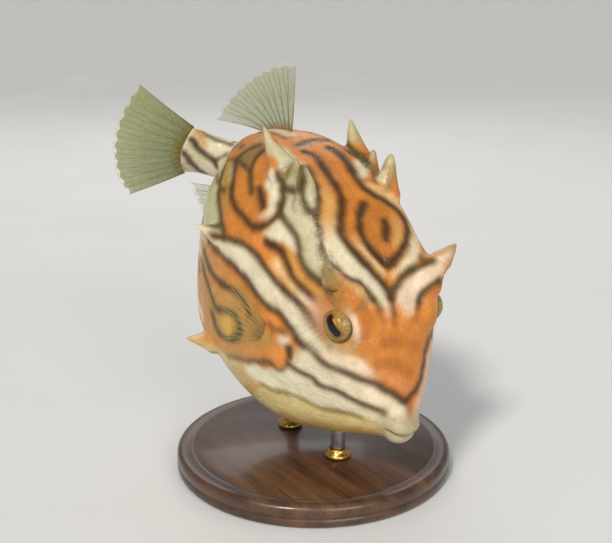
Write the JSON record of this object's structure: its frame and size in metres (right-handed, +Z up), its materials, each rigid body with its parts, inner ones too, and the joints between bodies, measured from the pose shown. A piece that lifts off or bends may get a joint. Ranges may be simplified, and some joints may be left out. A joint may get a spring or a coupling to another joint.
{
  "type": "cowfish model",
  "caption": "Life-size ornate cowfish, female pattern, swimming nose down with its tail turned, held by short rods over a round base.",
  "frame": {"origin": "centre of the stand base's underside, on the floor", "axes": "+X the way the snout points (the fish is pitched nose down), +Y the fish's left, +Z up"},
  "size_m": [0.1033, 0.076, 0.1095],
  "materials": {
    "body_skin": "wet, finely granular, striped cream, orange and olive",
    "spine": "satin bone",
    "lip": "moist skin",
    "eye": "wet, gold iris round a dark pupil",
    "fin": "thin, translucent, fine rays",
    "stand_wood": "dark satin",
    "stand_steel": "brushed"
  },
  "bodies": {
    "root": {"head": "body_skin", "carapace": "body_skin", "peduncle": "body_skin", "horn_left": "spine", "horn_right": "spine", "upper_lip": "lip", "lower_lip": "lip", "eye_left": "eye", "eye_right": "eye", "dorsal_fin": "fin", "anal_fin": "fin", "caudal_fin": "fin", "pectoral_fin_left": "fin", "pectoral_fin_right": "fin", "stand_base": "stand_wood", "stand_rod_front": "stand_steel", "stand_rod_rear": "stand_steel"}
  },
  "joints": []
}
